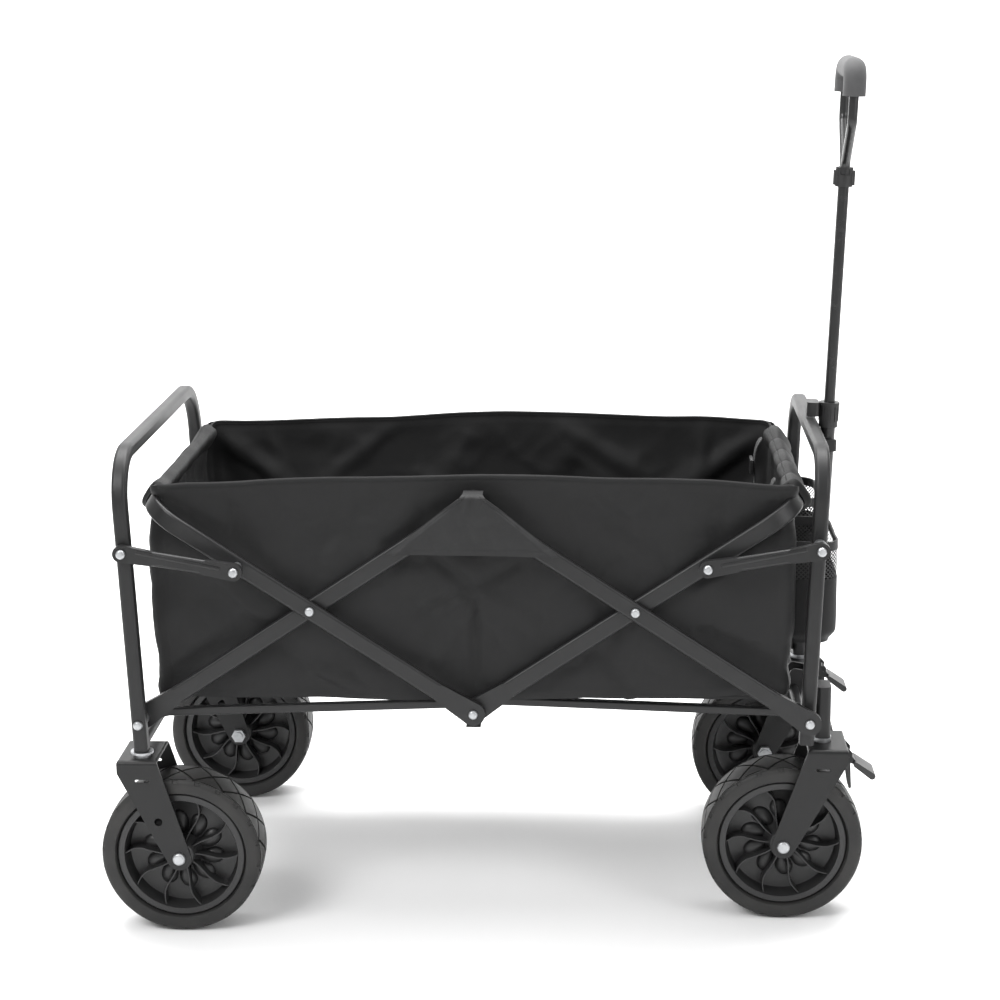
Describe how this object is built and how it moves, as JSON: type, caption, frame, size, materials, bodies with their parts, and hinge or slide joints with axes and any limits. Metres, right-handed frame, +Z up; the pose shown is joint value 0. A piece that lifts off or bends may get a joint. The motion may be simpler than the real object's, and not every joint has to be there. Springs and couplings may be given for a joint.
{
  "type": "folding camp wagon",
  "caption": "Folding four-wheel camp wagon with scissor side bars, cloth body, front casters with foot brakes and a telescoping pull handle.",
  "frame": {"origin": "on the ground, midway along and across the open wagon", "axes": "+X to the front with the pull handle, +Y to the left side, +Z up"},
  "size_m": [0.9593, 0.5452, 1.0553],
  "materials": {
    "frame_paint": "satin powder coat",
    "bar_paint": "satin powder coat",
    "fork_paint": "satin powder coat",
    "zinc": "bright zinc plate",
    "pole_paint": "gloss powder coat",
    "black_plastic": "fine moulded texture",
    "grip": "soft matt",
    "brake_plastic": "moulded",
    "tyre": "satin rubber",
    "rim": "semi-gloss moulded",
    "cloth": "woven polyester",
    "mesh_cloth": "woven polyester and mesh"
  },
  "bodies": {
    "rear": {"rear_frame": "frame_paint", "rear_cross_tube": "frame_paint", "rear_fork_left": "fork_paint", "rear_fork_right": "fork_paint", "fork_collars": "zinc", "rear_axles": "zinc", "rear_pivot_bolts": "zinc", "fabric_side_left": "cloth", "fabric_side_right": "cloth", "fabric_rear": "cloth", "fabric_floor": "cloth", "joint_covers": "cloth"},
    "bars_b": {"bars_b": "bar_paint", "scissor_bolts_b": "zinc"},
    "bar_a": {"bar_a": "bar_paint", "middle_bolts": "zinc", "centre_brackets": "bar_paint", "sleeve_rear": "cloth"},
    "bar_d": {"bar_d": "bar_paint", "scissor_bolts_d": "zinc", "sleeve_front": "cloth"},
    "bars_c": {"bars_c": "bar_paint"},
    "front": {"front_frame": "frame_paint", "front_cross_tube": "frame_paint", "caster_housings": "frame_paint", "front_pivot_bolts": "zinc", "handle_bracket": "frame_paint", "handle_clip": "black_plastic", "fabric_front": "cloth", "bottle_pockets": "mesh_cloth"},
    "links_rear": {"links_rear": "bar_paint", "link_studs_rear": "zinc"},
    "links_front": {"links_front": "bar_paint", "link_studs_front": "zinc"},
    "rails_rear": {"rails_rear": "bar_paint"},
    "rails_front": {"rails_front": "bar_paint"},
    "handle": {"handle_foot": "black_plastic", "handle_outer_tube": "pole_paint", "handle_lock": "black_plastic", "handle_lock_lever": "black_plastic"},
    "handle_pole": {"handle_inner_tube": "pole_paint", "handle_collar": "black_plastic", "handle_loop": "pole_paint", "handle_grip": "grip"},
    "caster_left": {"caster_fork_left": "fork_paint", "caster_pins_left": "zinc"},
    "brake_left": {"brake_lever_left": "brake_plastic"},
    "wheel_rear_left": {"tyre_rear_left": "tyre", "rim_rear_left": "rim"},
    "wheel_front_left": {"tyre_front_left": "tyre", "rim_front_left": "rim"},
    "caster_right": {"caster_fork_right": "fork_paint", "caster_pins_right": "zinc"},
    "brake_right": {"brake_lever_right": "brake_plastic"},
    "wheel_rear_right": {"tyre_rear_right": "tyre", "rim_rear_right": "rim"},
    "wheel_front_right": {"tyre_front_right": "tyre", "rim_front_right": "rim"}
  },
  "joints": [
    {"name": "fold", "type": "hinge", "parent": "rear", "child": "bars_b", "pos_m": [-0.42538, 0, 0.269], "axis": [0, -1, 0], "range_deg": [0, 40], "deforming": ["fabric_side_left", "fabric_side_right", "fabric_floor", "joint_covers", "fabric_rear", "fabric_front"]},
    {"name": "fold_a", "type": "hinge", "parent": "bars_b", "child": "bar_a", "pos_m": [-0.21332, 0, 0.40882], "axis": [0, -1, 0], "range_deg": [-80.01, 0]},
    {"name": "fold_d", "type": "hinge", "parent": "bar_a", "child": "bar_d", "pos_m": [-0.0163, 0, 0.27891], "axis": [0, -1, 0], "range_deg": [0, 80.01]},
    {"name": "fold_c", "type": "hinge", "parent": "bar_d", "child": "bars_c", "pos_m": [0.18072, 0, 0.40882], "axis": [0, -1, 0], "range_deg": [-80.01, 0]},
    {"name": "fold_front", "type": "hinge", "parent": "bars_c", "child": "front", "pos_m": [0.39277, 0, 0.269], "axis": [0, -1, 0], "range_deg": [0, 40.01]},
    {"name": "link_rear_turn", "type": "hinge", "parent": "rear", "child": "links_rear", "pos_m": [-0.43378, 0, 0.48784], "axis": [0, -1, 0], "range_deg": [0, 76.74]},
    {"name": "link_front_turn", "type": "hinge", "parent": "front", "child": "links_front", "pos_m": [0.40118, 0, 0.48784], "axis": [0, -1, 0], "range_deg": [-76.74, 0]},
    {"name": "floor_rear_lift", "type": "hinge", "parent": "rear", "child": "rails_rear", "pos_m": [-0.42538, 0, 0.269], "axis": [0, -1, 0], "range_deg": [0, 67.98]},
    {"name": "floor_front_lift", "type": "hinge", "parent": "front", "child": "rails_front", "pos_m": [0.39277, 0, 0.269], "axis": [0, -1, 0], "range_deg": [-67.98, 0]},
    {"name": "handle_swing", "type": "hinge", "parent": "front", "child": "handle", "pos_m": [0.4157, 0, 0.256], "axis": [0, 1, 0], "range_deg": [0, 92]},
    {"name": "handle_telescope", "type": "slide", "parent": "handle", "child": "handle_pole", "axis": [-0.0393, 0, -0.9992], "range_m": [0, 0.24]},
    {"name": "caster_swivel_left", "type": "hinge", "parent": "front", "child": "caster_left", "pos_m": [0.4137, 0.172, 0.26], "axis": [0, 0, 1], "continuous": true},
    {"name": "wheel_rear_spin_left", "type": "hinge", "parent": "rear", "child": "wheel_rear_left", "pos_m": [-0.3797, 0.228, 0.1], "axis": [0, 1, 0], "continuous": true},
    {"name": "wheel_front_spin_left", "type": "hinge", "parent": "caster_left", "child": "wheel_front_left", "pos_m": [0.3657, 0.172, 0.1], "axis": [0, 1, 0], "continuous": true},
    {"name": "brake_press_left", "type": "hinge", "parent": "caster_left", "child": "brake_left", "pos_m": [0.4447, 0.172, 0.208], "axis": [0, 1, 0], "range_deg": [0, 10]},
    {"name": "caster_swivel_right", "type": "hinge", "parent": "front", "child": "caster_right", "pos_m": [0.4137, -0.172, 0.26], "axis": [0, 0, 1], "continuous": true},
    {"name": "wheel_rear_spin_right", "type": "hinge", "parent": "rear", "child": "wheel_rear_right", "pos_m": [-0.3797, -0.228, 0.1], "axis": [0, 1, 0], "continuous": true},
    {"name": "wheel_front_spin_right", "type": "hinge", "parent": "caster_right", "child": "wheel_front_right", "pos_m": [0.3657, -0.172, 0.1], "axis": [0, 1, 0], "continuous": true},
    {"name": "brake_press_right", "type": "hinge", "parent": "caster_right", "child": "brake_right", "pos_m": [0.4447, -0.172, 0.208], "axis": [0, 1, 0], "range_deg": [0, 10]}
  ],
  "couplings": [
    {"joint": "fold_a", "follows": "fold", "ratio": -2},
    {"joint": "fold_d", "follows": "fold", "ratio": 2},
    {"joint": "fold_c", "follows": "fold", "ratio": -2},
    {"joint": "fold_front", "follows": "fold", "ratio": 1},
    {"joint": "link_rear_turn", "follows": "fold", "ratio": 1.9183},
    {"joint": "link_front_turn", "follows": "fold", "ratio": -1.9183},
    {"joint": "floor_rear_lift", "follows": "fold", "ratio": 1.6993},
    {"joint": "floor_front_lift", "follows": "fold", "ratio": -1.6993}
  ]
}
